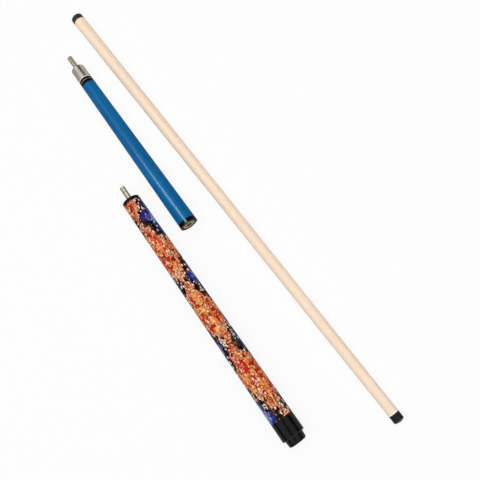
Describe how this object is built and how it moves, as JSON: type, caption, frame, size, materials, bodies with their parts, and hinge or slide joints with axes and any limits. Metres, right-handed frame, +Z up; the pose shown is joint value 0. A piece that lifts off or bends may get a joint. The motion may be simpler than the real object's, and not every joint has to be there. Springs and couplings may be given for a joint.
{
  "type": "pool cue",
  "caption": "Jointed pool cue taken apart into shaft, forearm and butt, with threaded joint pins and inserts, a domed tip, a printed handle and a rubber bumper.",
  "frame": {"origin": "centre of the layout's bounding box, on the floor that the three sections lie on", "axes": "+X along the forearm and butt towards the bumper and the tip, +Y towards the shaft section, +Z up"},
  "size_m": [0.76, 0.141, 0.0324],
  "materials": {
    "maple": "satin lacquered pale maple",
    "black_phenolic": "polished black",
    "brass": "turned brass",
    "fibre_pad": "dark red vulcanised fibre",
    "tip_leather": "teal chalked leather",
    "stainless": "polished stainless steel",
    "silver_trim": "polished thin ring",
    "blue_stained_wood": "blue stained wood under glossy clear coat",
    "printed_wrap": null,
    "steel": "plain steel",
    "rubber": "black moulded rubber"
  },
  "bodies": {
    "shaft": {"shaft_joint_collar": "black_phenolic", "shaft_wood": "maple", "shaft_insert": "brass", "ferrule": "black_phenolic", "tip_pad": "fibre_pad", "tip": "tip_leather"},
    "forearm": {"joint_barrel": "stainless", "barrel_ring": "black_phenolic", "silver_ring": "silver_trim", "forearm_ring": "black_phenolic", "forearm_wood": "blue_stained_wood", "forearm_pin": "stainless", "forearm_rear_collar": "black_phenolic", "forearm_insert": "brass"},
    "butt": {"handle_core": "maple", "handle_wrap": "printed_wrap", "butt_joint_collar": "black_phenolic", "butt_pin": "stainless", "butt_cap": "black_phenolic"},
    "bumper": {"bumper": "rubber"},
    "weight_bolt": {"weight_bolt": "steel"}
  },
  "joints": [
    {"name": "forearm_slide", "type": "slide", "parent": "shaft", "child": "forearm", "axis": [-0.9764, -0.2159, 0], "range_m": [0, 0.22233]},
    {"name": "butt_slide", "type": "slide", "parent": "shaft", "child": "butt", "axis": [-1, 0, 0], "range_m": [0, 0.1349]},
    {"name": "bumper_pull", "type": "slide", "parent": "butt", "child": "bumper", "axis": [1, 0, 0.0074], "range_m": [0, 0.016]},
    {"name": "weight_bolt_turn", "type": "hinge", "parent": "butt", "child": "weight_bolt", "pos_m": [0.31761, -0.05435, 0.0162], "axis": [1, 0, 0.0074], "continuous": true}
  ]
}
